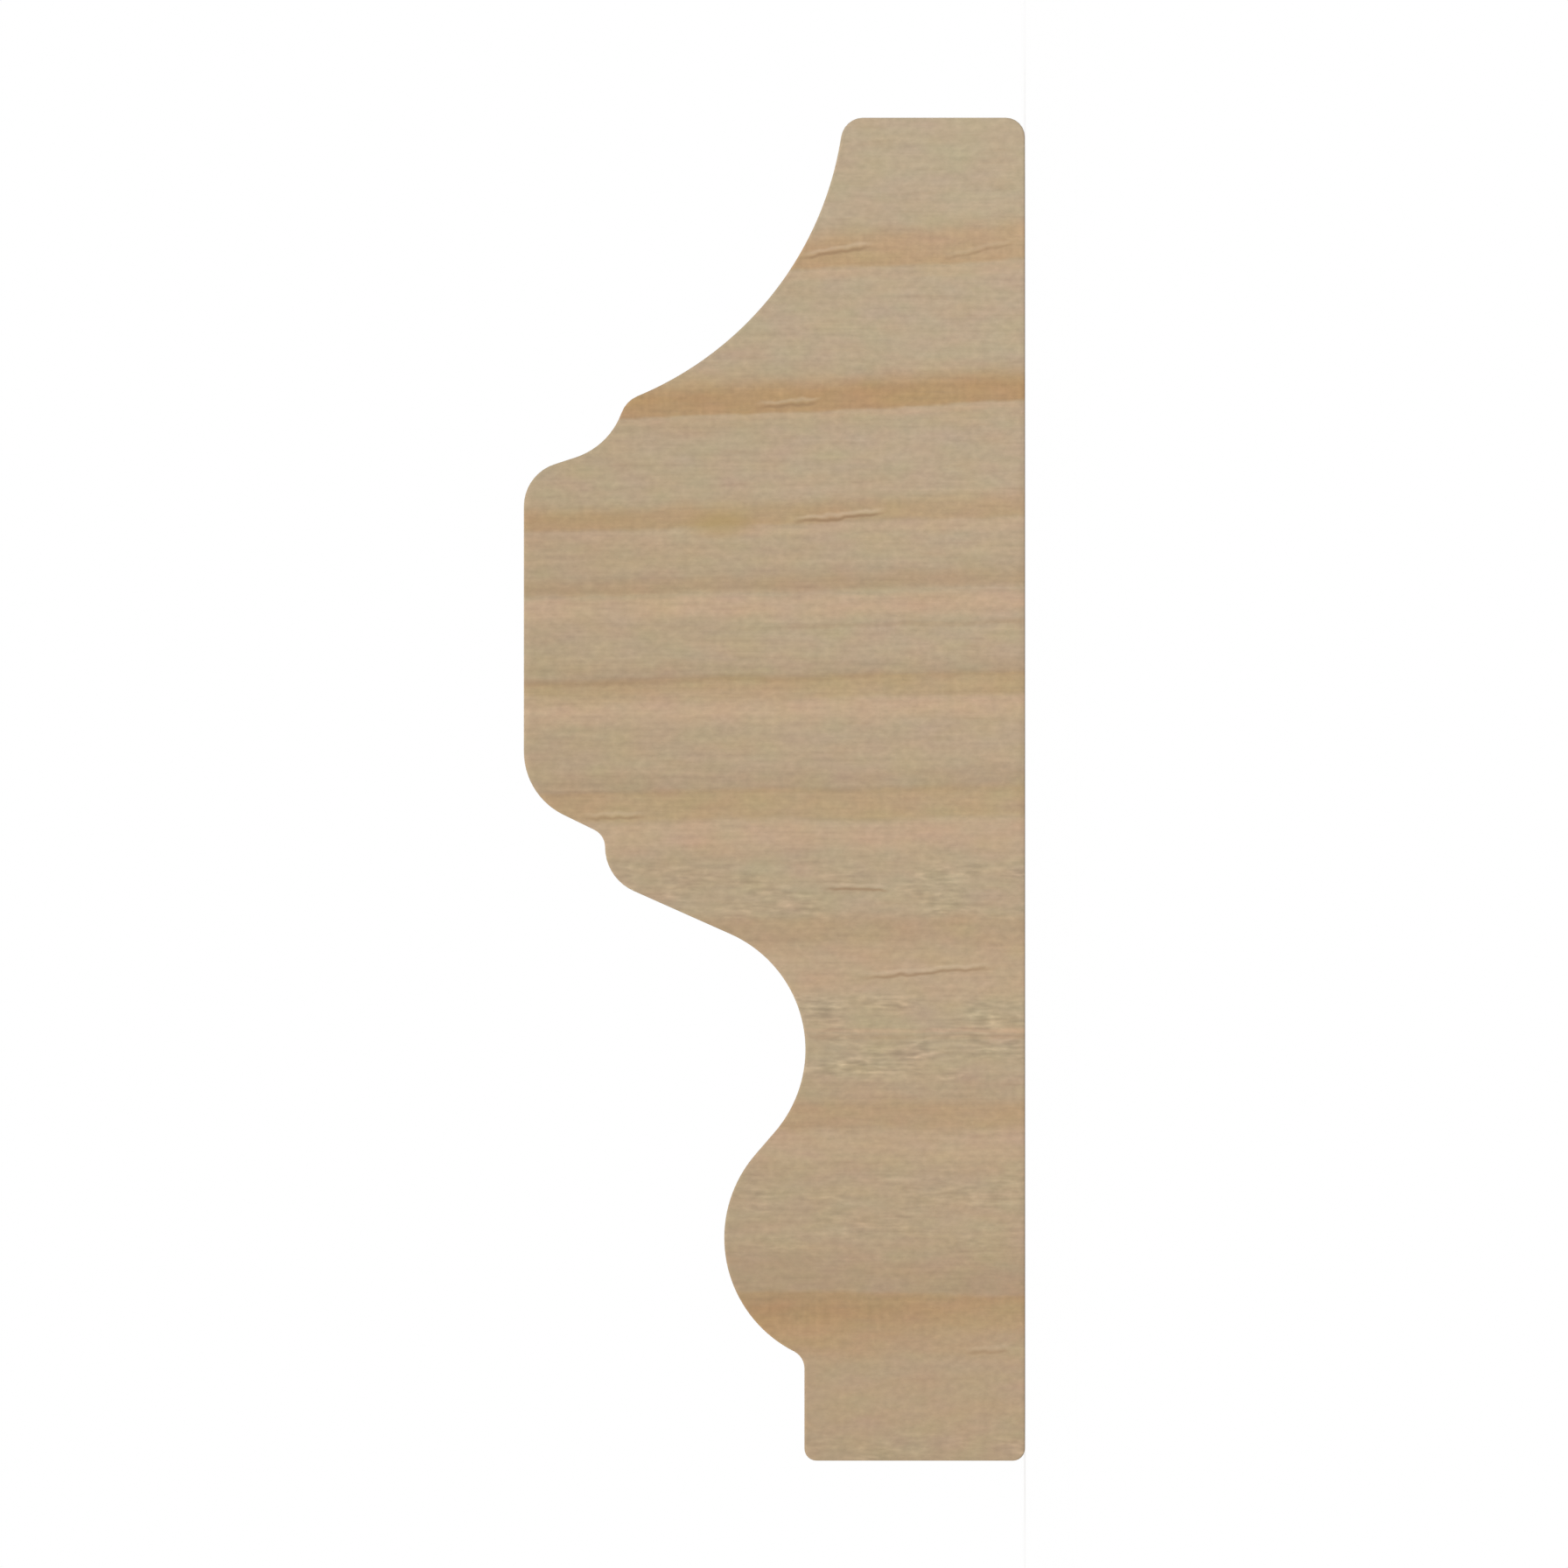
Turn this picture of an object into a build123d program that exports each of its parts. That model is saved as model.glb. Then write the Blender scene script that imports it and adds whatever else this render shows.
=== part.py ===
from build123d import *

import os
from math import acos, atan2, cos, degrees, hypot, radians, sin

# A straight length of pine moulding, planed and moulded from one board, lying on its flat back.
# X crosses the section from the foot edge to the top edge, Y runs along the grain,
# and Z stands out from the back. Sizes are in millimetres, slopes in degrees from the back.

# The board
length = 1200.0
thickness = 25.0

# The moulded face, in order from the foot edge to the top edge.
# A depth is the cut below the nose face, which keeps the full thickness of the board.
foot_depth = 14.0
foot_flat = 4.6
quirk_radius = 0.95
bead_depth = 10.0
bead_radius = 6.35
throat_flat = 1.5
scotia_depth = 14.05
scotia_radius = 6.3
step_slope = 66.0
step_radius = 2.4
step_depth = 4.05
nose_slope = 64.0
nose_foot_radius = 3.5
nose_flat = 12.25
nose_top_radius = 2.2
neck_slope = 72.0
neck_flat = 1.1
neck_radius = 3.65
arris_slope = 20.0
arris_radius = 1.45
cove_slope = 67.5
cove_rim_slope = 5.5
top_depth = 15.95

# The eased long edges
foot_edge_radius = 0.6
top_edge_radius = 0.95


def ogee_slope(fall, first_radius, second_radius, flat=0.0):
    """Slope at which two opposite arcs, with a flat between them, cover a fall."""
    radii = first_radius + second_radius
    return degrees(acos((radii - fall) / hypot(radii, flat)) - atan2(flat, radii))


def ogee_flat(fall, first_radius, second_radius, slope):
    """Flat that two opposite arcs need between them to cover a fall at a set slope."""
    radii = first_radius + second_radius
    return (fall - radii * (1 - cos(radians(slope)))) / sin(radians(slope))


foot_level = thickness - foot_depth
top_level = thickness - top_depth
bead_slope = ogee_slope(foot_depth - bead_depth, quirk_radius, bead_radius)
throat_slope = ogee_slope(scotia_depth - bead_depth, bead_radius, scotia_radius, throat_flat)
step_flat = ogee_flat(scotia_depth - step_depth, scotia_radius, step_radius, step_slope)
nose_foot_flat = ogee_flat(step_depth, quirk_radius, nose_foot_radius, nose_slope)

# The moulded face as a chain of flats and tangent arcs: positive arcs are hollow, negative ones round
with BuildLine() as face:
    # Foot fillet, and the quirk that parts it from the bead
    foot = Line((0, foot_level), (foot_flat, foot_level))
    foot_quirk = JernArc(foot @ 1, foot % 1, quirk_radius, bead_slope)

    # Bead falling into the scotia
    bead = JernArc(foot_quirk @ 1, foot_quirk % 1, bead_radius, -bead_slope - throat_slope)
    throat = PolarLine(bead @ 1, throat_flat, -throat_slope)
    scotia = JernArc(throat @ 1, throat % 1, scotia_radius, throat_slope + step_slope)

    # Slope and round of the step, and the quirk under the nose
    step = PolarLine(scotia @ 1, step_flat, step_slope)
    step_round = JernArc(step @ 1, step % 1, step_radius, -step_slope)
    nose_quirk = JernArc(step_round @ 1, step_round % 1, quirk_radius, nose_slope)

    # Nose, flat on its face and rounded on both edges
    nose_foot = PolarLine(nose_quirk @ 1, nose_foot_flat, nose_slope)
    nose_foot_round = JernArc(nose_foot @ 1, nose_foot % 1, nose_foot_radius, -nose_slope)
    nose = Line(nose_foot_round @ 1, nose_foot_round @ 1 + (nose_flat, 0))
    nose_top_round = JernArc(nose @ 1, nose % 1, nose_top_radius, -neck_slope)

    # Small hollow of the neck, ending in a rounded arris
    neck_fall = PolarLine(nose_top_round @ 1, neck_flat, -neck_slope)
    neck = JernArc(neck_fall @ 1, neck_fall % 1, neck_radius, neck_slope - arris_slope)
    arris = JernArc(neck @ 1, neck % 1, arris_radius, arris_slope - cove_slope)

    # Large cove that sweeps from the arris to the top edge
    cove_fall = (arris @ 1).Y - top_level
    cove_radius = cove_fall / (cos(radians(cove_rim_slope)) - cos(radians(cove_slope)))
    cove = JernArc(arris @ 1, arris % 1, cove_radius, cove_slope - cove_rim_slope)

width = (cove @ 1).X

with BuildPart() as moulding:
    with BuildSketch(Plane.XZ.shift_origin((-width / 2, 0, 0))) as section:
        with BuildLine():
            add(face.line)
            Polyline(cove @ 1, (width, 0), (0, 0), foot @ 0)
        make_face()
        fillet(section.vertices().group_by(Axis.X)[0], foot_edge_radius)
        fillet(section.vertices().group_by(Axis.X)[-1], top_edge_radius)
    extrude(amount=length / 2, both=True)

moulding.part.label = "moulding"
os.makedirs("parts", exist_ok=True)
export_step(moulding.part, "parts/moulding.step")
print(f"section {width:.2f} x {thickness:.2f} mm, {section.sketch.area:.1f} mm2, cove radius {cove_radius:.2f} mm")
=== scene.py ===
# %% [markdown]
# # A length of pine moulding
# The object is one straight length of pine. It was planed flat on its back, run past shaped knives
# that cut the moulded face, and cross-cut at both ends. It lies on its back on a pale floor, and the
# camera looks straight at one cut end, so that the section shows.
#
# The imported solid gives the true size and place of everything. It is loaded first and is never
# moved or reshaped: the finer mesh made below takes its place in the picture.

from math import acos, atan2, ceil, copysign, cos, degrees, hypot, pi, radians, sin

import bpy
import numpy as np
from mathutils import Matrix, Vector, noise


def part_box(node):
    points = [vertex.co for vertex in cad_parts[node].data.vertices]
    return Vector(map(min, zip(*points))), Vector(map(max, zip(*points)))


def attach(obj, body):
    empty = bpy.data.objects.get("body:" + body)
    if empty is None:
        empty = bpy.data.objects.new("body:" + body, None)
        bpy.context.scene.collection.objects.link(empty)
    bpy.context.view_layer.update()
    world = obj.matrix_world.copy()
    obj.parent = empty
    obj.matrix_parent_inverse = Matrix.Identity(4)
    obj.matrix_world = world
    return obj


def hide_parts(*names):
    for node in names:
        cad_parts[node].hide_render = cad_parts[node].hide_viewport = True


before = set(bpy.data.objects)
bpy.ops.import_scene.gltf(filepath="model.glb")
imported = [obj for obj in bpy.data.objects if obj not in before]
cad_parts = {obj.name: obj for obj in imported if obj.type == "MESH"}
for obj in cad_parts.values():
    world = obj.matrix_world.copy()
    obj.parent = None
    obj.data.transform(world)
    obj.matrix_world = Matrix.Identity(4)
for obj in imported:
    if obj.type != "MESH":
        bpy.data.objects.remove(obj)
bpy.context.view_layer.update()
low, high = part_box("moulding")
MM = 0.001
board_length = (high.y - low.y) / MM
board_width = (high.x - low.x) / MM
thickness = (high.z - low.z) / MM
print(f"board {board_length:.1f} x {board_width:.2f} x {thickness:.2f} mm")

# %% [markdown]
# ## The moulded section
# The knives leave a chain of flats and arcs, each tangent to the next: foot, bead, scotia, step, nose,
# neck and cove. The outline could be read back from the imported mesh, but that mesh has wide facets.
# So the chain is walked again here from its own sizes, with points close enough for smooth hollows.
# A slope is in degrees from the back, and a depth is measured down from the nose, in millimetres.

# %% Sizes of the section
foot_depth = 14.0
foot_flat = 4.6
quirk_radius = 0.95
bead_depth = 10.0
bead_radius = 6.35
throat_flat = 1.5
scotia_depth = 14.05
scotia_radius = 6.3
step_slope = 66.0
step_radius = 2.4
step_depth = 4.05
nose_slope = 64.0
nose_foot_radius = 3.5
nose_flat = 12.25
nose_top_radius = 2.2
neck_slope = 72.0
neck_flat = 1.1
neck_radius = 3.65
arris_slope = 20.0
arris_radius = 1.45
cove_slope = 67.5
cove_rim_slope = 5.5
top_depth = 15.95
foot_edge_radius = 0.6
top_edge_radius = 0.95


def ogee_slope(fall, first_radius, second_radius, flat_length=0.0):
    """Slope at which two opposite arcs, with a flat between them, cover a fall."""
    radii = first_radius + second_radius
    return degrees(acos((radii - fall) / hypot(radii, flat_length)) - atan2(flat_length, radii))


def ogee_flat(fall, first_radius, second_radius, slope):
    """Flat that two opposite arcs need between them to cover a fall at a set slope."""
    radii = first_radius + second_radius
    return (fall - radii * (1 - cos(radians(slope)))) / sin(radians(slope))


foot_level = thickness - foot_depth
top_level = thickness - top_depth
bead_slope = ogee_slope(foot_depth - bead_depth, quirk_radius, bead_radius)
throat_slope = ogee_slope(scotia_depth - bead_depth, bead_radius, scotia_radius, throat_flat)
step_flat = ogee_flat(scotia_depth - step_depth, scotia_radius, step_radius, step_slope)
nose_foot_flat = ogee_flat(step_depth, quirk_radius, nose_foot_radius, nose_slope)
print(f"bead rises at {bead_slope:.1f} degrees and falls to the scotia at {throat_slope:.1f}")

# %% Walk along the moulded face
outline_step = 0.32
arc_step = 12.0
outline = [(0.0, foot_level)]


def flat(length, slope):
    """Carry the outline on along a straight run."""
    x, z = outline[-1]
    for run in np.linspace(0.0, length, ceil(length / outline_step) + 1)[1:]:
        outline.append((x + run * cos(radians(slope)), z + run * sin(radians(slope))))


def arc(radius, start, end):
    """Carry the outline on round an arc: hollow where the slope grows, round where it falls."""
    x, z = outline[-1]
    turn = copysign(radius, end - start)
    span = abs(end - start)
    count = ceil(max(radius * radians(span) / outline_step, span / arc_step))
    for slope in np.radians(np.linspace(start, end, count + 1)[1:]):
        across = sin(slope) - sin(radians(start))
        up = cos(radians(start)) - cos(slope)
        outline.append((x + turn * across, z + turn * up))


flat(foot_flat, 0)
arc(quirk_radius, 0, bead_slope)
arc(bead_radius, bead_slope, -throat_slope)
flat(throat_flat, -throat_slope)
arc(scotia_radius, -throat_slope, step_slope)
flat(step_flat, step_slope)
arc(step_radius, step_slope, 0)
arc(quirk_radius, 0, nose_slope)
flat(nose_foot_flat, nose_slope)
arc(nose_foot_radius, nose_slope, 0)
flat(nose_flat, 0)
arc(nose_top_radius, 0, -neck_slope)
flat(neck_flat, -neck_slope)
arc(neck_radius, -neck_slope, -arris_slope)
arc(arris_radius, -arris_slope, -cove_slope)
cove_fall = outline[-1][1] - top_level
cove_radius = cove_fall / (cos(radians(cove_rim_slope)) - cos(radians(cove_slope)))
arc(cove_radius, -cove_slope, -cove_rim_slope)
face_x, face_z = np.array(outline).T
width = face_x[-1]
print(f"{len(outline)} points along the face, {width:.3f} mm wide, against {board_width:.3f} in the frame")

# %% [markdown]
# ## A grid over the section
# The cut end needs points inside it as well, to carry torn fibres and drying checks. A filled outline
# would give long thin triangles, so the section is taken as columns that stand from the back up to the
# moulded face, each with the same number of rows. The grid's rim is then the outline itself, rounded
# on the long edges, and it is carried along the board to make the moulded faces.

# %% Columns and rows
row_count = 80
edge_steps = 6
column_gap = 0.1
edge_turns = np.linspace(0, pi / 2, edge_steps + 1)


def edge_loss(radius, distance):
    """Height that a rounded long edge takes off, at a distance in from that edge."""
    reach = np.clip(radius - distance, 0, radius)
    return radius - np.sqrt(radius**2 - reach**2)


foot_columns = foot_edge_radius * (1 - np.cos(edge_turns))
top_columns = width - top_edge_radius * (1 - np.cos(edge_turns[::-1]))
is_inner = (face_x > foot_columns[-1] + column_gap) & (face_x < top_columns[0] - column_gap)
column_x = np.concatenate([foot_columns, face_x[is_inner], top_columns])
back_loss = edge_loss(foot_edge_radius, column_x) + edge_loss(top_edge_radius, width - column_x)
column_top = np.interp(column_x, face_x, face_z) - back_loss
column_count = len(column_x)
rise = np.linspace(0, 1, row_count)
grid = np.empty((column_count, row_count, 2))
grid[:, :, 0] = column_x[:, None]
grid[:, :, 1] = back_loss[:, None] + (column_top - back_loss)[:, None] * rise
print(f"section grid of {column_count} columns and {row_count} rows")

# %% Rim of the section
last_column = column_count - 1
last_row = row_count - 1
rim = [(i, last_row) for i in range(last_column)]
rim += [(last_column, j) for j in range(last_row, 0, -1)]
rim += [(i, 0) for i in range(last_column, 0, -1)]
rim += [(0, j) for j in range(last_row)]
rim_columns, rim_rows = np.array(rim).T
rim_points = grid[rim_columns, rim_rows]
rim_size = len(rim)
tangent = np.roll(rim_points, -1, axis=0) - np.roll(rim_points, 1, axis=0)
tangent /= np.linalg.norm(tangent, axis=1)[:, None]
outward = np.column_stack([-tangent[:, 1], tangent[:, 0]])
rim_run = np.linalg.norm(np.roll(rim_points, -1, axis=0) - rim_points, axis=1)
print(f"rim of {rim_size} points, {rim_run.sum():.1f} mm round")

# %% [markdown]
# ## Checks in the cut end
# As a board dries, its cut end opens in fine slits that follow the growth rings, and the saw lifts a
# few fibres beside them. They could be painted on, but a slit also catches light from the side. So one
# list gives where each slit starts and stops. It presses shallow grooves into the mesh here, and later
# the end's finish paints the shade inside each slit as a dark hairline, with a painted highlight beside
# it.
# A place is the height above the foot edge and the depth out from the back, in millimetres. The last
# number of a row is the strength of that check, up to 1.

# %% Drying checks and the relief of the sawn end
CHECKS = [
    ((59.95, 11.4), (60.60, 7.4), 0.85),
    ((59.90, 4.3), (60.75, 0.3), 0.45),
    ((52.50, 13.6), (52.80, 10.0), 0.8),
    ((46.72, 11.9), (47.30, 6.7), 1.0),
    ((32.00, 22.2), (32.10, 18.8), 0.6),
    ((28.52, 10.2), (28.42, 6.6), 0.8),
    ((24.00, 8.8), (24.60, 1.2), 0.8),
    ((5.35, 3.2), (5.45, 0.6), 0.5),
]
groove_reach = 0.4
groove_depth = 0.12
fibre_depth = 0.02
fibre_height = 0.7
fibre_width = 1.6
near_seed = 0.0
far_seed = 9.0


def groove(height, out):
    """Depth of the grooves at points of the section, given as arrays."""
    depth = np.zeros_like(height)
    for (start_height, start_out), (end_height, end_out), strength in CHECKS:
        share = np.clip((out - start_out) / (end_out - start_out), 0, 1)
        line = start_height + share * (end_height - start_height)
        fall = np.clip(1 - np.abs(height - line) / groove_reach, 0, 1)
        depth += groove_depth * strength * fall**2 * np.sin(pi * share)
    return depth


def torn_fibre(height, out, seed):
    """Depth of the torn fibre at one point of a sawn end."""
    pattern = noise.noise((height / fibre_height, out / fibre_width, seed))
    return fibre_depth * (0.5 + 0.5 * pattern)


print(f"{len(CHECKS)} drying checks, up to {groove_depth} mm deep")

# %% [markdown]
# ## One mesh for the whole length
# A section swept along the board could come from a curve with a bevel profile, but its ends would be
# plain fills. Building the rings of points directly keeps the end grids and the long faces in one
# closed mesh. The cut edge is eased by a hair, as a sawn edge is after handling: three rings turn the
# corner, and a fourth close behind keeps the shading of the long faces straight.

# %% Rings along the board
ease = 0.06
half_turn = ease * (1 - cos(radians(45)))
end_rings = [(0.0, ease), (half_turn, half_turn), (ease, 0.0), (3 * ease, 0.0)]
body_step = 50.0
body_rings = [(run, 0.0) for run in np.arange(body_step, board_length - body_step / 2, body_step)]
far_rings = [(board_length - run, inset) for run, inset in reversed(end_rings)]
rings = end_rings + body_rings + far_rings
ring_count = len(rings)


def ring_points(run, inset):
    """The rim drawn in by an inset, at a run along the board, in millimetres from the low corner."""
    drawn = rim_points - inset * outward
    return np.column_stack([drawn[:, 0], np.full(rim_size, run), drawn[:, 1]])


ring_vertices = np.concatenate([ring_points(run, inset) for run, inset in rings])
print(f"{ring_count} rings of {rim_size} points")

# %% Points inside the two cut ends
inset_rim = rim_points - ease * outward
inset_grid = np.empty_like(grid)
inset_grid[rim_columns, rim_rows] = inset_rim
foot_of_column = inset_grid[1:-1, 0][:, None, :]
head_of_column = inset_grid[1:-1, -1][:, None, :]
inset_grid[1:-1, 1:-1] = foot_of_column + (head_of_column - foot_of_column) * rise[None, 1:-1, None]
end_points = inset_grid[1:-1, 1:-1].reshape(-1, 2)
end_height, end_out = end_points.T
near_relief = np.array([torn_fibre(h, o, near_seed) for h, o in end_points]) + groove(end_height, end_out)
far_relief = np.array([torn_fibre(h, o, far_seed) for h, o in end_points])
near_end = np.column_stack([end_height, near_relief, end_out])
far_end = np.column_stack([end_height, board_length - far_relief, end_out])
print(f"{len(end_points)} points inside each end")

# %% Faces
def end_table(ring, first_inside):
    """Vertex numbers of a cut end's grid: its rim is a ring, and its inside points follow on."""
    table = np.empty((column_count, row_count), int)
    inside = np.arange((column_count - 2) * (row_count - 2)) + first_inside
    table[1:-1, 1:-1] = inside.reshape(column_count - 2, row_count - 2)
    table[rim_columns, rim_rows] = ring * rim_size + np.arange(rim_size)
    return table


def quads(table):
    """Four-sided faces between neighbours in a table of vertex numbers."""
    corners = [table[:-1, :-1], table[1:, :-1], table[1:, 1:], table[:-1, 1:]]
    return np.stack(corners, axis=-1).reshape(-1, 4)


near_table = end_table(0, len(ring_vertices))
far_table = end_table(ring_count - 1, len(ring_vertices) + len(end_points))
long_table = np.arange(ring_count * rim_size).reshape(ring_count, rim_size)
long_table = np.concatenate([long_table, long_table[:, :1]], axis=1).T
long_faces = quads(long_table)
near_faces = quads(near_table)
far_faces = quads(far_table)[:, ::-1]
faces = np.concatenate([long_faces, near_faces, far_faces])
vertices = np.concatenate([ring_vertices, near_end, far_end]) * MM + np.array(low)
print(f"{len(vertices)} points and {2 * len(faces)} triangles")

# %% Make the piece
mesh = bpy.data.meshes.new("pine_moulding")
mesh.from_pydata(vertices.tolist(), [], faces.tolist(), shade_flat=False)
is_end = np.arange(len(faces)) >= len(long_faces)
mesh.polygons.foreach_set("material_index", is_end.astype(np.int32))
moulding = bpy.data.objects.new("pine_moulding", mesh)
bpy.context.scene.collection.objects.link(moulding)
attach(moulding, "root")
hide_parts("moulding")
print("made", moulding.name)

# %% [markdown]
# ## A flat map for the finish
# The finish is worked out from the place in the wood, so it needs no map. A flat map is still laid out
# for baking: the long faces fill the upper half, unrolled, and the two ends share the lower half, each
# at its own true shape, so that the fine grain of the ends keeps its detail.

# %% Lay out the flat map
map_margin = 4 / 1024
near_strip = (0.0, 0.25)
far_strip = (0.25, 0.5)
long_strip = (0.5, 1.0)


def into(share, start, end):
    """A share from 0 to 1, laid into a strip of the map, inside its margin."""
    return start + map_margin + share * (end - start - 2 * map_margin)


def end_map(corners, strip):
    """Map of a cut end's corners, by their height and depth, in a strip of the map."""
    spot = (vertices[corners] - np.array(low)) / MM
    across = into(spot[..., 0] / width, 0.0, 1.0)
    up = into(spot[..., 2] / thickness, *strip)
    return np.stack([across, up], axis=-1)


round_share = np.concatenate([[0.0], np.cumsum(rim_run)]) / rim_run.sum()
round_index = np.arange(rim_size)
along_share = np.array([run for run, inset in rings]) / board_length
ring_of_quad = np.arange(ring_count - 1)
start_round, start_along = np.meshgrid(round_index, ring_of_quad, indexing="ij")
corner_round = np.stack([start_round, start_round + 1, start_round + 1, start_round], axis=-1)
corner_along = np.stack([start_along, start_along, start_along + 1, start_along + 1], axis=-1)
long_across = into(along_share[corner_along], 0.0, 1.0)
long_up = into(round_share[corner_round], *long_strip)
long_map = np.stack([long_across, long_up], axis=-1)
maps = [long_map, end_map(near_faces, near_strip), end_map(far_faces, far_strip)]
flat_map = np.concatenate([part.reshape(-1, 2) for part in maps])
layer = mesh.uv_layers.new(name="OFBake")
layer.uv.foreach_set("vector", flat_map.astype(np.float32).ravel())
print(f"flat map of {len(flat_map)} corners, {flat_map.min():.3f} to {flat_map.max():.3f}")

# %% [markdown]
# ## Small helpers for node trees
# Every finish below is a tree of shader nodes. The helpers add a node, feed a socket from a link or a
# plain value, and make a group with named sockets, so that each tree reads as a list of steps.

# %% Helpers for node trees
FLOAT = "NodeSocketFloat"
VECTOR = "NodeSocketVector"
COLOUR = "NodeSocketColor"
nodes_in_row = 8
node_spacing = Vector((200, -320))


def add_node(tree, kind, **settings):
    """A new node, laid out in rows in the order of making."""
    made = tree.nodes.new(kind)
    row, place = divmod(len(tree.nodes) - 1, nodes_in_row)
    made.location = (place * node_spacing.x, row * node_spacing.y)
    for name, value in settings.items():
        setattr(made, name, value)
    return made


def feed(tree, socket, value):
    """Link a socket to another, or give it a plain value."""
    if isinstance(value, bpy.types.NodeSocket):
        tree.links.new(value, socket)
    else:
        socket.default_value = value


def reckon(tree, operation, *values):
    """One step of arithmetic."""
    made = add_node(tree, "ShaderNodeMath", operation=operation)
    for socket, value in zip(made.inputs, values):
        feed(tree, socket, value)
    return made.outputs[0]


def ease_between(tree, value, start, end):
    """0 before start, 1 after end, and a smooth ramp between them."""
    made = add_node(tree, "ShaderNodeMapRange", interpolation_type="SMOOTHSTEP")
    for label, given in (("Value", value), ("From Min", start), ("From Max", end)):
        feed(tree, made.inputs[label], given)
    return made.outputs["Result"]


def blend_colour(tree, blend_type, amount, below, above):
    """Lay one colour over another."""
    made = add_node(tree, "ShaderNodeMix", data_type="RGBA", blend_type=blend_type)
    for label, given in (("Factor_Float", amount), ("A_Color", below), ("B_Color", above)):
        feed(tree, next(s for s in made.inputs if s.identifier == label), given)
    return next(s for s in made.outputs if s.identifier == "Result_Color")


def cells(tree, position, size, detail=1.0, shift=0.0, output="Fac"):
    """Soft noise from 0 to 1, in cells of a size in millimetres: across, along and out of the board.

    A shift moves the pattern, so that two noises do not line up.
    """
    scaled = add_node(tree, "ShaderNodeVectorMath", operation="MULTIPLY_ADD")
    feed(tree, scaled.inputs[0], position)
    scaled.inputs[1].default_value = [1 / side for side in size]
    scaled.inputs[2].default_value = (shift, shift, shift)
    made = add_node(tree, "ShaderNodeTexNoise", noise_dimensions="3D")
    feed(tree, made.inputs["Vector"], scaled.outputs[0])
    made.inputs["Scale"].default_value = 1.0
    made.inputs["Detail"].default_value = detail
    return made.outputs[output]


def new_group(name, inputs, outputs):
    """An empty node group: its tree, the sockets that come in, and the sockets that go out."""
    tree = bpy.data.node_groups.new(name, "ShaderNodeTree")
    for label, kind in inputs.items():
        tree.interface.new_socket(name=label, in_out="INPUT", socket_type=kind)
    for label, kind in outputs.items():
        tree.interface.new_socket(name=label, in_out="OUTPUT", socket_type=kind)
    return tree, add_node(tree, "NodeGroupInput").outputs, add_node(tree, "NodeGroupOutput").inputs


def place_group(tree, group, values):
    """A copy of a group in a tree, fed by the names of its sockets."""
    made = add_node(tree, "ShaderNodeGroup", node_tree=group)
    for label, value in values.items():
        feed(tree, made.inputs[label], value)
    return made.outputs


def tone(red, green, blue):
    """A colour as the eye reads it, from 0 to 255, as the linear light that sockets hold."""
    shares = [value / 255 for value in (red, green, blue)]
    linear = [s / 12.92 if s <= 0.04045 else ((s + 0.055) / 1.055) ** 2.4 for s in shares]
    return (*linear, 1.0)


print("helpers ready")

# %% [markdown]
# ## Where a point lies in the wood
# Grain runs through the wood, so every finish starts from the place of a point in the board and not
# from its surface. This group gives that place in millimetres from the board's low corner: across the
# section from the foot edge, along the board from the near end, and out from the back.

# %% Group: place in the board
place_tree, _, place_out = new_group("Place in the board", {}, {"Place": VECTOR})
coordinates = add_node(place_tree, "ShaderNodeTexCoord")
from_corner = add_node(place_tree, "ShaderNodeVectorMath", operation="SUBTRACT")
feed(place_tree, from_corner.inputs[0], coordinates.outputs["Object"])
from_corner.inputs[1].default_value = low
in_mm = add_node(place_tree, "ShaderNodeVectorMath", operation="SCALE")
feed(place_tree, in_mm.inputs[0], from_corner.outputs[0])
in_mm.inputs["Scale"].default_value = 1 / MM
feed(place_tree, place_out["Place"], in_mm.outputs[0])
print("made group", place_tree.name)

# %% [markdown]
# ## Growth rings as levels
# The board was cut so that its growth rings cross the section as almost level bands. They fan apart a
# little towards the top edge, where they rise to the back. A ring texture with a centre far away could
# draw them, but no two of these rings are alike. So this group gives each point a ring level, its
# height with the fan and the wander of the rings taken out, and the rings are then chosen level by
# level. The wander along the board starts from nothing at the near end.

# %% Group: ring level
fan_start = 23.0
fan_rate = 0.0014
wander_from = 10.0
wander_full = 240.0
wander_size = (90.0, 330.0, 90.0)
wander_reach = 5.0
waver_size = (5.0, 70.0, 7.0)
waver_reach = 0.5
ragged_size = (0.45, 14.0, 1.1)
ragged_reach = 0.22

level_tree, level_in, level_out = new_group(
    "Ring level", {"Place": VECTOR}, {"Level": FLOAT, "Across": FLOAT, "Along": FLOAT, "Out": FLOAT}
)
parts = add_node(level_tree, "ShaderNodeSeparateXYZ")
feed(level_tree, parts.inputs[0], level_in["Place"])
across, along, out = parts.outputs
above_fan = reckon(level_tree, "MAXIMUM", reckon(level_tree, "SUBTRACT", across, fan_start), 0.0)
from_middle = reckon(level_tree, "SUBTRACT", out, thickness / 2)
fan = reckon(level_tree, "MULTIPLY", reckon(level_tree, "MULTIPLY", above_fan, from_middle), fan_rate)
level = reckon(level_tree, "ADD", across, fan)
wandering = ease_between(level_tree, along, wander_from, wander_full)
wander = reckon(level_tree, "SUBTRACT", cells(level_tree, level_in["Place"], wander_size), 0.5)
wander = reckon(level_tree, "MULTIPLY", wander, wandering)
level = reckon(level_tree, "MULTIPLY_ADD", wander, wander_reach, level)
for size, reach in ((waver_size, waver_reach), (ragged_size, ragged_reach)):
    drift = reckon(level_tree, "SUBTRACT", cells(level_tree, level_in["Place"], size), 0.5)
    level = reckon(level_tree, "MULTIPLY_ADD", drift, reach, level)
feed(level_tree, level_out["Level"], level)
for label, value in (("Across", across), ("Along", along), ("Out", out)):
    feed(level_tree, level_out[label], value)
print("made group", level_tree.name)

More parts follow.
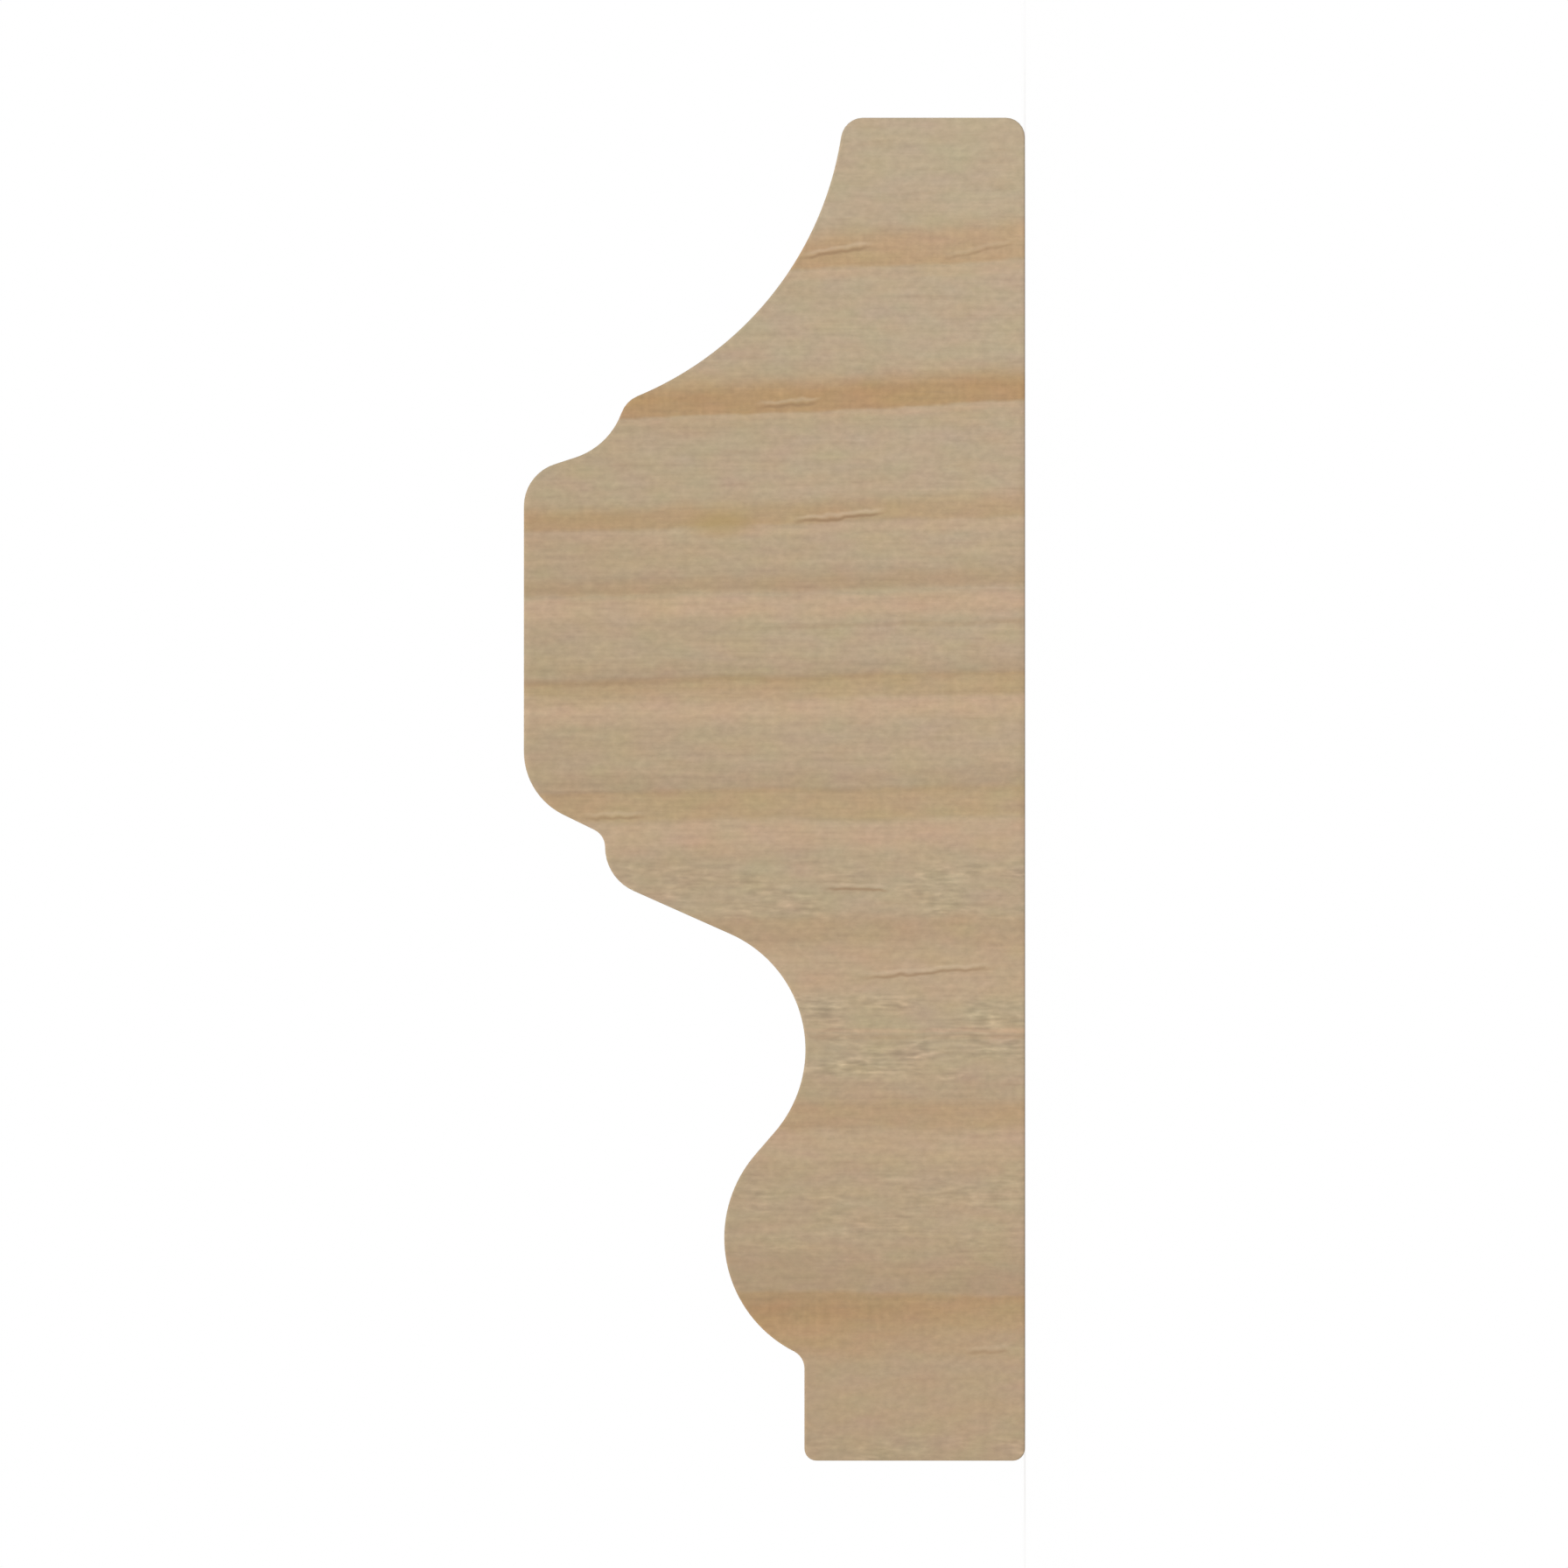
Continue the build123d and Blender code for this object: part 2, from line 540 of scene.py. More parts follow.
# %% [markdown]
# ## One band of a growth ring
# Each ring is a few bands: orange and ochre late wood that ends sharply on one side and fades on the
# other, a grey shade, a thin dark line, and a pale line of new early wood. Soft zones that tear under
# the saw are bands as well. A colour ramp could draw them all, but it gives a band one strength
# everywhere. So each band is a mask that rises between two levels and falls between two more, with its
# own strength at the moulded face and at the back. One group makes that mask and adds it to the bands
# before it.

# %% Group: growth band
band_tree, band_in, band_out = new_group(
    "Growth band",
    {
        "Level": FLOAT,
        "Out Share": FLOAT,
        "From": FLOAT,
        "Full From": FLOAT,
        "Full To": FLOAT,
        "To": FLOAT,
        "At Face": FLOAT,
        "At Back": FLOAT,
        "Before": FLOAT,
    },
    {"Mask": FLOAT},
)
risen = ease_between(band_tree, band_in["Level"], band_in["From"], band_in["Full From"])
fallen = ease_between(band_tree, band_in["Level"], band_in["To"], band_in["Full To"])
extra = reckon(band_tree, "SUBTRACT", band_in["At Face"], band_in["At Back"])
strength = reckon(band_tree, "MULTIPLY_ADD", extra, band_in["Out Share"], band_in["At Back"])
mask = reckon(band_tree, "MULTIPLY", reckon(band_tree, "MULTIPLY", risen, fallen), strength)
feed(band_tree, band_out["Mask"], reckon(band_tree, "ADD", mask, band_in["Before"]))
print("made group", band_tree.name)

# %% [markdown]
# ## The nine rings of this board
# The bands were set against the cut end, from the top edge down. A row gives the levels, in
# millimetres above the foot edge, between which a band rises and falls, then its strength at the
# moulded face and at the back.

# %% Group: growth rings
BANDS = {
    "Torn": [
        (26.60, 27.40, 29.30, 30.40, 0.15, 0.24),
        (18.60, 19.40, 23.00, 23.60, 0.28, 0.28),
        (9.60, 11.20, 14.00, 14.90, 0.16, 0.16),
        (-1.00, -0.50, 0.90, 1.80, 0.10, 0.20),
    ],
    "Shade": [
        (43.30, 43.70, 44.10, 44.90, 0.42, 0.36),
        (38.95, 39.20, 39.40, 40.20, 0.40, 0.36),
        (33.30, 33.55, 33.90, 34.70, 0.46, 0.40),
        (25.70, 26.05, 26.60, 27.50, 0.32, 0.16),
        (17.20, 17.60, 17.90, 19.00, 0.22, 0.16),
        (7.60, 8.30, 8.80, 11.50, 0.85, 0.65),
        (-1.00, -0.50, 0.40, 1.60, 0.22, 0.22),
    ],
    "Late": [
        (59.20, 59.50, 60.15, 61.90, 0.76, 0.56),
        (57.60, 59.00, 59.20, 59.40, 0.10, 0.05),
        (52.80, 53.30, 53.90, 55.00, 0.30, 0.00),
        (52.15, 52.40, 52.95, 54.25, 0.72, 0.84),
        (50.80, 51.90, 52.10, 52.30, 0.15, 0.08),
        (46.50, 46.85, 47.20, 48.05, 0.44, 0.22),
        (44.20, 45.20, 46.20, 46.60, 0.11, 0.02),
        (43.20, 43.50, 43.90, 44.40, 0.20, 0.16),
        (24.20, 26.00, 26.70, 27.40, 0.22, 0.18),
        (16.20, 16.90, 17.60, 18.30, 0.34, 0.32),
        (5.90, 8.00, 8.20, 8.55, 0.44, 0.36),
        (4.60, 6.00, 7.40, 8.20, 1.15, 0.00),
    ],
    "Ochre": [
        (59.15, 59.50, 60.60, 61.10, 0.50, 0.16),
        (52.20, 52.70, 53.30, 54.70, 0.30, 0.26),
        (46.50, 46.90, 47.50, 48.35, 0.26, 0.26),
        (38.20, 38.60, 38.95, 39.20, 0.20, 0.00),
        (37.65, 38.15, 38.95, 39.20, 0.18, 0.44),
        (31.70, 32.20, 33.30, 33.60, 0.40, 0.36),
        (5.20, 7.60, 8.10, 8.50, 0.34, 0.28),
    ],
    "Line": [
        (52.15, 52.45, 53.10, 54.00, 0.16, 0.08),
        (46.40, 46.80, 47.20, 48.00, 0.14, 0.00),
        (43.35, 43.60, 43.70, 44.00, 0.14, 0.06),
        (41.45, 41.60, 41.65, 41.85, 0.00, 0.28),
        (38.70, 39.00, 39.10, 39.35, 0.46, 0.20),
        (33.15, 33.40, 33.50, 33.70, 0.24, 0.18),
        (20.95, 21.10, 21.18, 21.32, 0.10, 0.26),
        (6.40, 7.30, 8.10, 8.45, 0.70, 0.08),
    ],
    "Pale": [
        (59.10, 59.60, 60.50, 61.40, 0.00, 0.40),
        (58.60, 58.95, 59.10, 59.35, 0.50, 0.36),
        (51.85, 52.05, 52.15, 52.35, 0.24, 0.46),
        (45.90, 46.35, 46.50, 46.75, 0.24, 0.50),
        (41.80, 42.60, 43.00, 43.35, 0.60, 0.62),
        (37.00, 37.70, 38.00, 38.70, 0.32, 0.00),
        (36.50, 37.30, 37.60, 38.10, 0.46, 0.72),
        (30.00, 31.00, 31.60, 32.10, 0.50, 0.54),
        (22.40, 23.40, 25.20, 26.00, 0.34, 0.30),
        (21.30, 21.42, 21.50, 21.65, 0.20, 0.55),
        (14.60, 15.40, 16.20, 16.90, 0.34, 0.36),
    ],
}
band_sockets = ("From", "Full From", "Full To", "To", "At Face", "At Back")
mask_kinds = {name: FLOAT for name in BANDS}
rings_tree, rings_in, rings_out = new_group("Growth rings", {"Level": FLOAT, "Out": FLOAT}, mask_kinds)
out_share = reckon(rings_tree, "DIVIDE", rings_in["Out"], thickness)
for name, rows in BANDS.items():
    mask = 0.0
    for row in rows:
        values = dict(zip(band_sockets, row))
        values |= {"Level": rings_in["Level"], "Out Share": out_share, "Before": mask}
        mask = place_group(rings_tree, band_tree, values)["Mask"]
    feed(rings_tree, rings_out[name], mask)
print(f"growth rings from {sum(len(rows) for rows in BANDS.values())} bands")

# %% [markdown]
# ## Fibre
# Between the rings the wood is a mass of fine fibres. On the cut end they show as short flecks and
# longer level streaks, and along the faces as fine straight lines. A picture of grain would not meet
# at the edges, so the fibres are noise in the body of the wood. Its cells are stretched along the
# board, and so the same noise gives both. Where the saw tore a soft zone, longer flecks are added in
# clusters. These are light and dark pairs that are painted shading of the raised fibre, which the bump
# raises as well. The tan bands get a faint upright hatch, dark threads run between the rings, and a
# blush of coloured noise shifts the hue from patch to patch.

# %% Group: fibre
fleck_size = (0.30, 14.0, 0.44)
tear_size = (0.24, 14.0, 0.95)
tear_and_shading_share = 11.5
cluster_size = (1.6, 40.0, 3.0)
cluster_shift = 17.0
cluster_edge = (0.34, 0.66)
pale_lean = 0.35
hatch_size = (1.1, 14.0, 0.20)
hatch_share = 0.3
streak_size = (0.21, 45.0, 4.5)
thread_size = (0.30, 60.0, 3.2)
thread_shift = 31.0
thread_edge = (0.58, 0.74)
blush_size = (1.0, 40.0, 2.2)
blush_shift = 7.0

fibre_tree, fibre_in, fibre_out = new_group(
    "Fibre",
    {"Place": VECTOR, "Torn": FLOAT, "Tan": FLOAT},
    {"Fleck And Shading": FLOAT, "Streak": FLOAT, "Thread": FLOAT, "Blush": COLOUR},
)


def centred_cells(size, detail):
    """Noise about zero, in cells of a size in millimetres."""
    return reckon(fibre_tree, "SUBTRACT", cells(fibre_tree, fibre_in["Place"], size, detail), 0.5)


# Painted shading: in torn clusters the flecks are light and dark pairs that stand for light and shade on
# raised fibre.
tear_and_shading = centred_cells(tear_size, 1.0)
cluster = cells(fibre_tree, fibre_in["Place"], cluster_size, 1.0, cluster_shift)
cluster = ease_between(fibre_tree, cluster, *cluster_edge)
torn = reckon(fibre_tree, "MULTIPLY", cluster, fibre_in["Torn"])
torn = reckon(fibre_tree, "MULTIPLY", torn, tear_and_shading_share)
fleck_and_shading = reckon(fibre_tree, "MULTIPLY_ADD", tear_and_shading, torn, centred_cells(fleck_size, 2.0))
squared = reckon(fibre_tree, "MULTIPLY", fleck_and_shading, fleck_and_shading)
fleck_and_shading = reckon(fibre_tree, "MULTIPLY_ADD", squared, pale_lean, fleck_and_shading)
hatch = reckon(fibre_tree, "MULTIPLY", centred_cells(hatch_size, 0.0), fibre_in["Tan"])
fleck_and_shading = reckon(fibre_tree, "MULTIPLY_ADD", hatch, hatch_share, fleck_and_shading)
feed(fibre_tree, fibre_out["Fleck And Shading"], fleck_and_shading)
feed(fibre_tree, fibre_out["Streak"], centred_cells(streak_size, 1.0))
thread = cells(fibre_tree, fibre_in["Place"], thread_size, 1.0, thread_shift)
thread = ease_between(fibre_tree, thread, *thread_edge)
feed(fibre_tree, fibre_out["Thread"], thread)
blush = cells(fibre_tree, fibre_in["Place"], blush_size, 1.0, blush_shift, "Color")
feed(fibre_tree, fibre_out["Blush"], blush)
print("made group", fibre_tree.name)

# %% [markdown]
# ## The colour of the wood
# Bare pine is a pale tan that runs a little greyer and lighter towards the top edge, and a little
# warmer towards the moulded face. It is also painted a little lighter towards the back: painted light
# that lifts the shade near the floor. The ring masks are laid over it one after another, and the fibre
# then lightens and darkens the result by a few parts in a hundred, partly with painted shading where
# the saw tore the fibre. The plain wood near the foot has no streaks. Each finish could mix its own
# colours, but then they would differ where they meet. So everything sits in one group, and both
# finishes share one board.

# %% Group: pine
foot_tone = tone(178, 155, 126)
top_tone = tone(184, 167, 141)
TONES = {
    "Torn": tone(178, 165, 137),
    "Shade": tone(170, 147, 119),
    "Late": tone(178, 143, 103),
    "Ochre": tone(180, 150, 106),
    "Line": tone(158, 131, 100),
    "Pale": tone(195, 167, 138),
}
# Painted light: the back is painted a little lighter, to lift the shade near the floor; the warmth towards
# the face is the wood's own.
back_painted_light = (1.023, 1.019, 1.023, 1.0)
face_tint = (0.960, 0.937, 0.902, 1.0)
thread_tone = tone(166, 142, 114)
thread_share = 0.16
blush_share = 0.062
calm_below = 3.0
streaks_above = 9.0

pine_tree, pine_in, pine_out = new_group(
    "Pine",
    {"Fleck And Shading": FLOAT, "Streak": FLOAT},
    {"Colour": COLOUR, "Tan": FLOAT, "Fibre": FLOAT, "Along": FLOAT, "Place": VECTOR},
)
place = place_group(pine_tree, place_tree, {})["Place"]
board = place_group(pine_tree, level_tree, {"Place": place})
ring = place_group(pine_tree, rings_tree, {"Level": board["Level"], "Out": board["Out"]})
tan = reckon(pine_tree, "ADD", ring["Late"], ring["Ochre"])
fibre = place_group(pine_tree, fibre_tree, {"Place": place, "Torn": ring["Torn"], "Tan": tan})
share_across = reckon(pine_tree, "DIVIDE", board["Across"], width)
colour = blend_colour(pine_tree, "MIX", share_across, foot_tone, top_tone)
share_out = reckon(pine_tree, "DIVIDE", board["Out"], thickness)
# Painted light towards the back, and the wood's own warmth towards the moulded face.
tint_and_painted_light = blend_colour(pine_tree, "MIX", share_out, back_painted_light, face_tint)
colour = blend_colour(pine_tree, "MULTIPLY", 1.0, colour, tint_and_painted_light)
for name, ring_tone in TONES.items():
    colour = blend_colour(pine_tree, "MIX", ring[name], colour, ring_tone)
thread_amount = reckon(pine_tree, "MULTIPLY", fibre["Thread"], thread_share)
colour = blend_colour(pine_tree, "MIX", thread_amount, colour, thread_tone)
colour = blend_colour(pine_tree, "OVERLAY", blush_share, colour, fibre["Blush"])
# The flecks scale the colour here, and carry the painted shading of torn fibre with them.
fleck_and_shading = reckon(pine_tree, "MULTIPLY_ADD", fibre["Fleck And Shading"], pine_in["Fleck And Shading"], 1.0)
above_foot = ease_between(pine_tree, board["Level"], calm_below, streaks_above)
streak = reckon(pine_tree, "MULTIPLY", fibre["Streak"], above_foot)
light = reckon(pine_tree, "MULTIPLY_ADD", streak, pine_in["Streak"], fleck_and_shading)
lit = add_node(pine_tree, "ShaderNodeVectorMath", operation="SCALE")
feed(pine_tree, lit.inputs[0], colour)
feed(pine_tree, lit.inputs["Scale"], light)
feed(pine_tree, pine_out["Colour"], lit.outputs[0])
feed(pine_tree, pine_out["Tan"], tan)
feed(pine_tree, pine_out["Fibre"], reckon(pine_tree, "ADD", fibre["Fleck And Shading"], fibre["Streak"]))
feed(pine_tree, pine_out["Along"], board["Along"])
feed(pine_tree, pine_out["Place"], place)
print("made group", pine_tree.name)

# %% [markdown]
# ## Hairlines in the cut end
# A groove in the mesh is too wide and soft to show the slit itself, which is as fine as a hair. This
# group draws one drying check: a dark hairline from one place to another, painted shade for the inside
# of the slit, with a pale lip above it that is partly lifted fibre and partly a painted highlight.

# %% Group: drying check
hairline = 0.14
lip_rise = 0.22
lip_reach = 0.16
full_from = 0.25
full_to = 0.8
check_tree, check_in, check_out = new_group(
    "Drying check",
    {
        "Height": FLOAT,
        "Out": FLOAT,
        "Start Height": FLOAT,
        "Start Out": FLOAT,
        "End Height": FLOAT,
        "End Out": FLOAT,
        "Strength": FLOAT,
        "Slit Shade Before": FLOAT,
        "Lip Highlight Before": FLOAT,
    },
    {"Slit Shade": FLOAT, "Lip Highlight": FLOAT},
)
run = reckon(check_tree, "SUBTRACT", check_in["Out"], check_in["Start Out"])
whole_run = reckon(check_tree, "SUBTRACT", check_in["End Out"], check_in["Start Out"])
share = reckon(check_tree, "DIVIDE", run, whole_run)
climb = reckon(check_tree, "SUBTRACT", check_in["End Height"], check_in["Start Height"])
line = reckon(check_tree, "MULTIPLY_ADD", climb, share, check_in["Start Height"])
above = reckon(check_tree, "SUBTRACT", check_in["Height"], line)
opened = ease_between(check_tree, share, 0.0, full_from)
closed = ease_between(check_tree, share, 1.0, full_to)
within = reckon(check_tree, "MULTIPLY", opened, closed)
within = reckon(check_tree, "MULTIPLY", within, check_in["Strength"])
# The slit mask places painted shade, and the lip mask places a painted highlight.
slit_shade = ease_between(check_tree, reckon(check_tree, "ABSOLUTE", above), hairline, 0.0)
from_lip = reckon(check_tree, "ABSOLUTE", reckon(check_tree, "SUBTRACT", above, lip_rise))
lip_highlight = ease_between(check_tree, from_lip, lip_reach, 0.0)
for label, value in (("Slit Shade", slit_shade), ("Lip Highlight", lip_highlight)):
    added = reckon(check_tree, "MULTIPLY_ADD", value, within, check_in[label + " Before"])
    feed(check_tree, check_out[label], added)
print("made group", check_tree.name)

# %% [markdown]
# ## Finish of the cut ends
# A sawn end is rough and has almost no shine. The board's own pine is used at full fleck, with the
# painted shading of torn fibre in it. The fibre is also raised by bump, because at a few hundredths of a
# millimetre it is too fine for the mesh.

# %% Helpers for materials
def new_material(name):
    """A material with only its output node: its tree and that node."""
    made = bpy.data.materials.new(name)
    made.use_nodes = True
    made.node_tree.nodes.clear()
    return made, made.node_tree, add_node(made.node_tree, "ShaderNodeOutputMaterial")


def wood_shader(tree, output, colour, roughness, shine, height, relief):
    """Bare wood: a dull surface with the grain raised by bump, relief in millimetres."""
    shader = add_node(tree, "ShaderNodeBsdfPrincipled")
    bump = add_node(tree, "ShaderNodeBump")
    bump.inputs["Distance"].default_value = relief * MM
    feed(tree, bump.inputs["Height"], height)
    feed(tree, shader.inputs["Base Color"], colour)
    feed(tree, shader.inputs["Roughness"], roughness)
    feed(tree, shader.inputs["Normal"], bump.outputs["Normal"])
    shader.inputs["Specular IOR Level"].default_value = shine
    feed(tree, output.inputs["Surface"], shader.outputs[0])


print("ready to make materials")

# %% Material: sawn end, its wood and its checks
end_fleck_and_shading = 0.33
end_streak = 0.18
# Painted shade and highlight: the slit tone stands for the shade inside each slit, and the lip tone is
# partly lifted fibre, partly a painted highlight.
slit_shade_tone = tone(150, 122, 92)
lip_highlight_tone = tone(206, 184, 156)
slit_shade_share = 0.75
lip_highlight_share = 0.48
slit_wander = (0.8, 14.0, 0.8)
slit_shift = 5.0
slit_reach = 0.34
near_end_reach = 5.0

sawn_end, end_tree, end_output = new_material("pine sawn end")
end_wood = place_group(end_tree, pine_tree, {"Fleck And Shading": end_fleck_and_shading, "Streak": end_streak})
end_parts = add_node(end_tree, "ShaderNodeSeparateXYZ")
feed(end_tree, end_parts.inputs[0], end_wood["Place"])
ragged = cells(end_tree, end_wood["Place"], slit_wander, 1.0, slit_shift)
ragged = reckon(end_tree, "SUBTRACT", ragged, 0.5)
slit_height = reckon(end_tree, "MULTIPLY_ADD", ragged, slit_reach, end_parts.outputs[0])
checks = {"Slit Shade": 0.0, "Lip Highlight": 0.0}
for (start_height, start_out), (stop_height, stop_out), strength in CHECKS:
    values = {"Height": slit_height, "Out": end_parts.outputs[2], "Strength": strength}
    values |= {"Start Height": start_height, "Start Out": start_out}
    values |= {"End Height": stop_height, "End Out": stop_out}
    values |= {"Slit Shade Before": checks["Slit Shade"], "Lip Highlight Before": checks["Lip Highlight"]}
    checks = place_group(end_tree, check_tree, values)
at_near_end = ease_between(end_tree, end_wood["Along"], near_end_reach, 0.0)
end_colour = end_wood["Colour"]
# Painted light: each lip's highlight and each slit's shade are laid over the wood here.
for label, amount, check_tone in (("Lip Highlight", lip_highlight_share, lip_highlight_tone), ("Slit Shade", slit_shade_share, slit_shade_tone)):
    drawn = reckon(end_tree, "MULTIPLY", checks[label], at_near_end)
    drawn = reckon(end_tree, "MULTIPLY", drawn, amount)
    end_colour = blend_colour(end_tree, "MIX", drawn, end_colour, check_tone)
print(f"drew {len(CHECKS)} checks in {sawn_end.name}")

# %% Material: sawn end, its stain and its surface
stain_place = (46.68, 0.0, 15.1)
stain_size = (0.95, 5.0, 2.3)
stain_core = 0.2
stain_tone = tone(172, 148, 98)
stain_share = 0.5
end_rough = 0.80
end_rough_fall = -0.08
end_shine = 0.15
end_relief = 0.03

from_stain = add_node(end_tree, "ShaderNodeVectorMath", operation="MULTIPLY_ADD")
feed(end_tree, from_stain.inputs[0], end_wood["Place"])
from_stain.inputs[1].default_value = [1 / side for side in stain_size]
from_stain.inputs[2].default_value = [-middle / side for middle, side in zip(stain_place, stain_size)]
stain_span = add_node(end_tree, "ShaderNodeVectorMath", operation="LENGTH")
feed(end_tree, stain_span.inputs[0], from_stain.outputs[0])
stain = ease_between(end_tree, stain_span.outputs["Value"], 1.0, stain_core)
stained = reckon(end_tree, "MULTIPLY", stain, stain_share)
end_colour = blend_colour(end_tree, "MIX", stained, end_colour, stain_tone)
roughness = reckon(end_tree, "MULTIPLY_ADD", end_wood["Tan"], end_rough_fall, end_rough)
wood_shader(end_tree, end_output, end_colour, roughness, end_shine, end_wood["Fibre"], end_relief)
print("made material", sawn_end.name)

# %% [markdown]
# ## Finish of the planed and moulded faces
# Knives leave the long faces smooth, with a low sheen, and a faint ripple across the grain where each
# knife came round. The ripple is far too shallow for the mesh, so it is bump too. Fine resin canals
# show as short brown dashes along the grain. The wood itself is the same board as at the ends.

# %% Material: planed face
ripple_pitch = 1.8
ripple_share = 0.25
canal_size = (0.22, 7.0, 0.22)
canal_shift = 53.0
canal_edge = (0.70, 0.80)
canal_tone = tone(158, 124, 88)
canal_share = 0.35
face_fleck_and_shading = 0.22
face_streak = 0.30
face_rough = 0.60
face_rough_fall = -0.10
face_shine = 0.12
face_relief = 0.006

planed_face, face_tree, face_output = new_material("pine planed face")
face_wood = place_group(face_tree, pine_tree, {"Fleck And Shading": face_fleck_and_shading, "Streak": face_streak})
canal = cells(face_tree, face_wood["Place"], canal_size, 0.0, canal_shift)
canal = ease_between(face_tree, canal, *canal_edge)
canal_amount = reckon(face_tree, "MULTIPLY", canal, canal_share)
face_colour = blend_colour(face_tree, "MIX", canal_amount, face_wood["Colour"], canal_tone)
turns = reckon(face_tree, "MULTIPLY", face_wood["Along"], 2 * pi / ripple_pitch)
ripple = reckon(face_tree, "MULTIPLY", reckon(face_tree, "SINE", turns), ripple_share)
face_height = reckon(face_tree, "ADD", ripple, face_wood["Fibre"])
roughness = reckon(face_tree, "MULTIPLY_ADD", face_wood["Tan"], face_rough_fall, face_rough)
wood_shader(face_tree, face_output, face_colour, roughness, face_shine, face_height, face_relief)
print("made material", planed_face.name)

# %% Put the finishes on the piece
for material in (planed_face, sawn_end):
    mesh.materials.append(material)
print([slot.name for slot in moulding.material_slots])

# %% [markdown]
# ## Floor and surroundings
# The floor is plain and pale. To the camera it is half lit and half glowing, so that it reads as white
# and still takes the moulding's shadow. To the light that bounces off it, it is an ordinary pale
# floor. The surroundings are white to the camera and a soft even light to everything else.

# %% Floor
floor_half = 30.0
floor_drop = 0.02 * MM
bounce_white = (0.60, 0.60, 0.60, 1.0)
seen_white = (0.5, 0.5, 0.5, 1.0)
glow = 0.51


def seen_rays(tree):
    """1 for rays that come straight from the camera, or by a reflection or through glass."""
    path = add_node(tree, "ShaderNodeLightPath").outputs
    mirror = reckon(tree, "MAXIMUM", path["Is Camera Ray"], path["Is Glossy Ray"])
    return reckon(tree, "MAXIMUM", mirror, path["Is Transmission Ray"])


floor_finish, floor_tree, floor_output = new_material("pale floor")
bounced = add_node(floor_tree, "ShaderNodeBsdfDiffuse")
bounced.inputs["Color"].default_value = bounce_white
lit_floor = add_node(floor_tree, "ShaderNodeBsdfDiffuse")
lit_floor.inputs["Color"].default_value = seen_white
glowing = add_node(floor_tree, "ShaderNodeEmission")
glowing.inputs["Strength"].default_value = glow
seen_floor = add_node(floor_tree, "ShaderNodeAddShader")
either = add_node(floor_tree, "ShaderNodeMixShader")
feed(floor_tree, seen_floor.inputs[0], lit_floor.outputs[0])
feed(floor_tree, seen_floor.inputs[1], glowing.outputs[0])
feed(floor_tree, either.inputs[0], seen_rays(floor_tree))
feed(floor_tree, either.inputs[1], bounced.outputs[0])
feed(floor_tree, either.inputs[2], seen_floor.outputs[0])
feed(floor_tree, floor_output.inputs["Surface"], either.outputs[0])
floor_level = low.z - floor_drop
signs = ((-1, -1), (1, -1), (1, 1), (-1, 1))
corners = [(x * floor_half, y * floor_half, floor_level) for x, y in signs]
floor_mesh = bpy.data.meshes.new("floor")
floor_mesh.from_pydata(corners, [], [(0, 1, 2, 3)])
floor_mesh.materials.append(floor_finish)
floor = bpy.data.objects.new("floor", floor_mesh)
bpy.context.scene.collection.objects.link(floor)
print(f"floor at {floor_level / MM:.2f} mm")

# %% Surroundings
ambient = 0.24
world = bpy.data.worlds.new("studio")
bpy.context.scene.world = world
world.use_nodes = True
world_tree = world.node_tree
world_tree.nodes.clear()
surround = add_node(world_tree, "ShaderNodeBackground")
surround.inputs["Strength"].default_value = ambient
white = add_node(world_tree, "ShaderNodeBackground")
for background in (surround, white):
    background.inputs["Color"].default_value = (1.0, 1.0, 1.0, 1.0)
world_mix = add_node(world_tree, "ShaderNodeMixShader")
world_output = add_node(world_tree, "ShaderNodeOutputWorld")
feed(world_tree, world_mix.inputs[0], seen_rays(world_tree))
feed(world_tree, world_mix.inputs[1], surround.outputs[0])
feed(world_tree, world_mix.inputs[2], white.outputs[0])
feed(world_tree, world_output.inputs["Surface"], world_mix.outputs[0])
print(f"even light of {ambient}")

# %% [markdown]
# ## Lamps
# A large soft key stands in front of the cut end, above the board and towards its top edge. A weaker
# fill on the side of the foot edge and a low one behind keep every face of the moulding out of the
# dark. Area lamps would fade along the board. Sun lamps with a wide angle give soft shadows too and
# light the whole length alike. At a level of 1, a white surface that faces the lamp would render as
# just white.

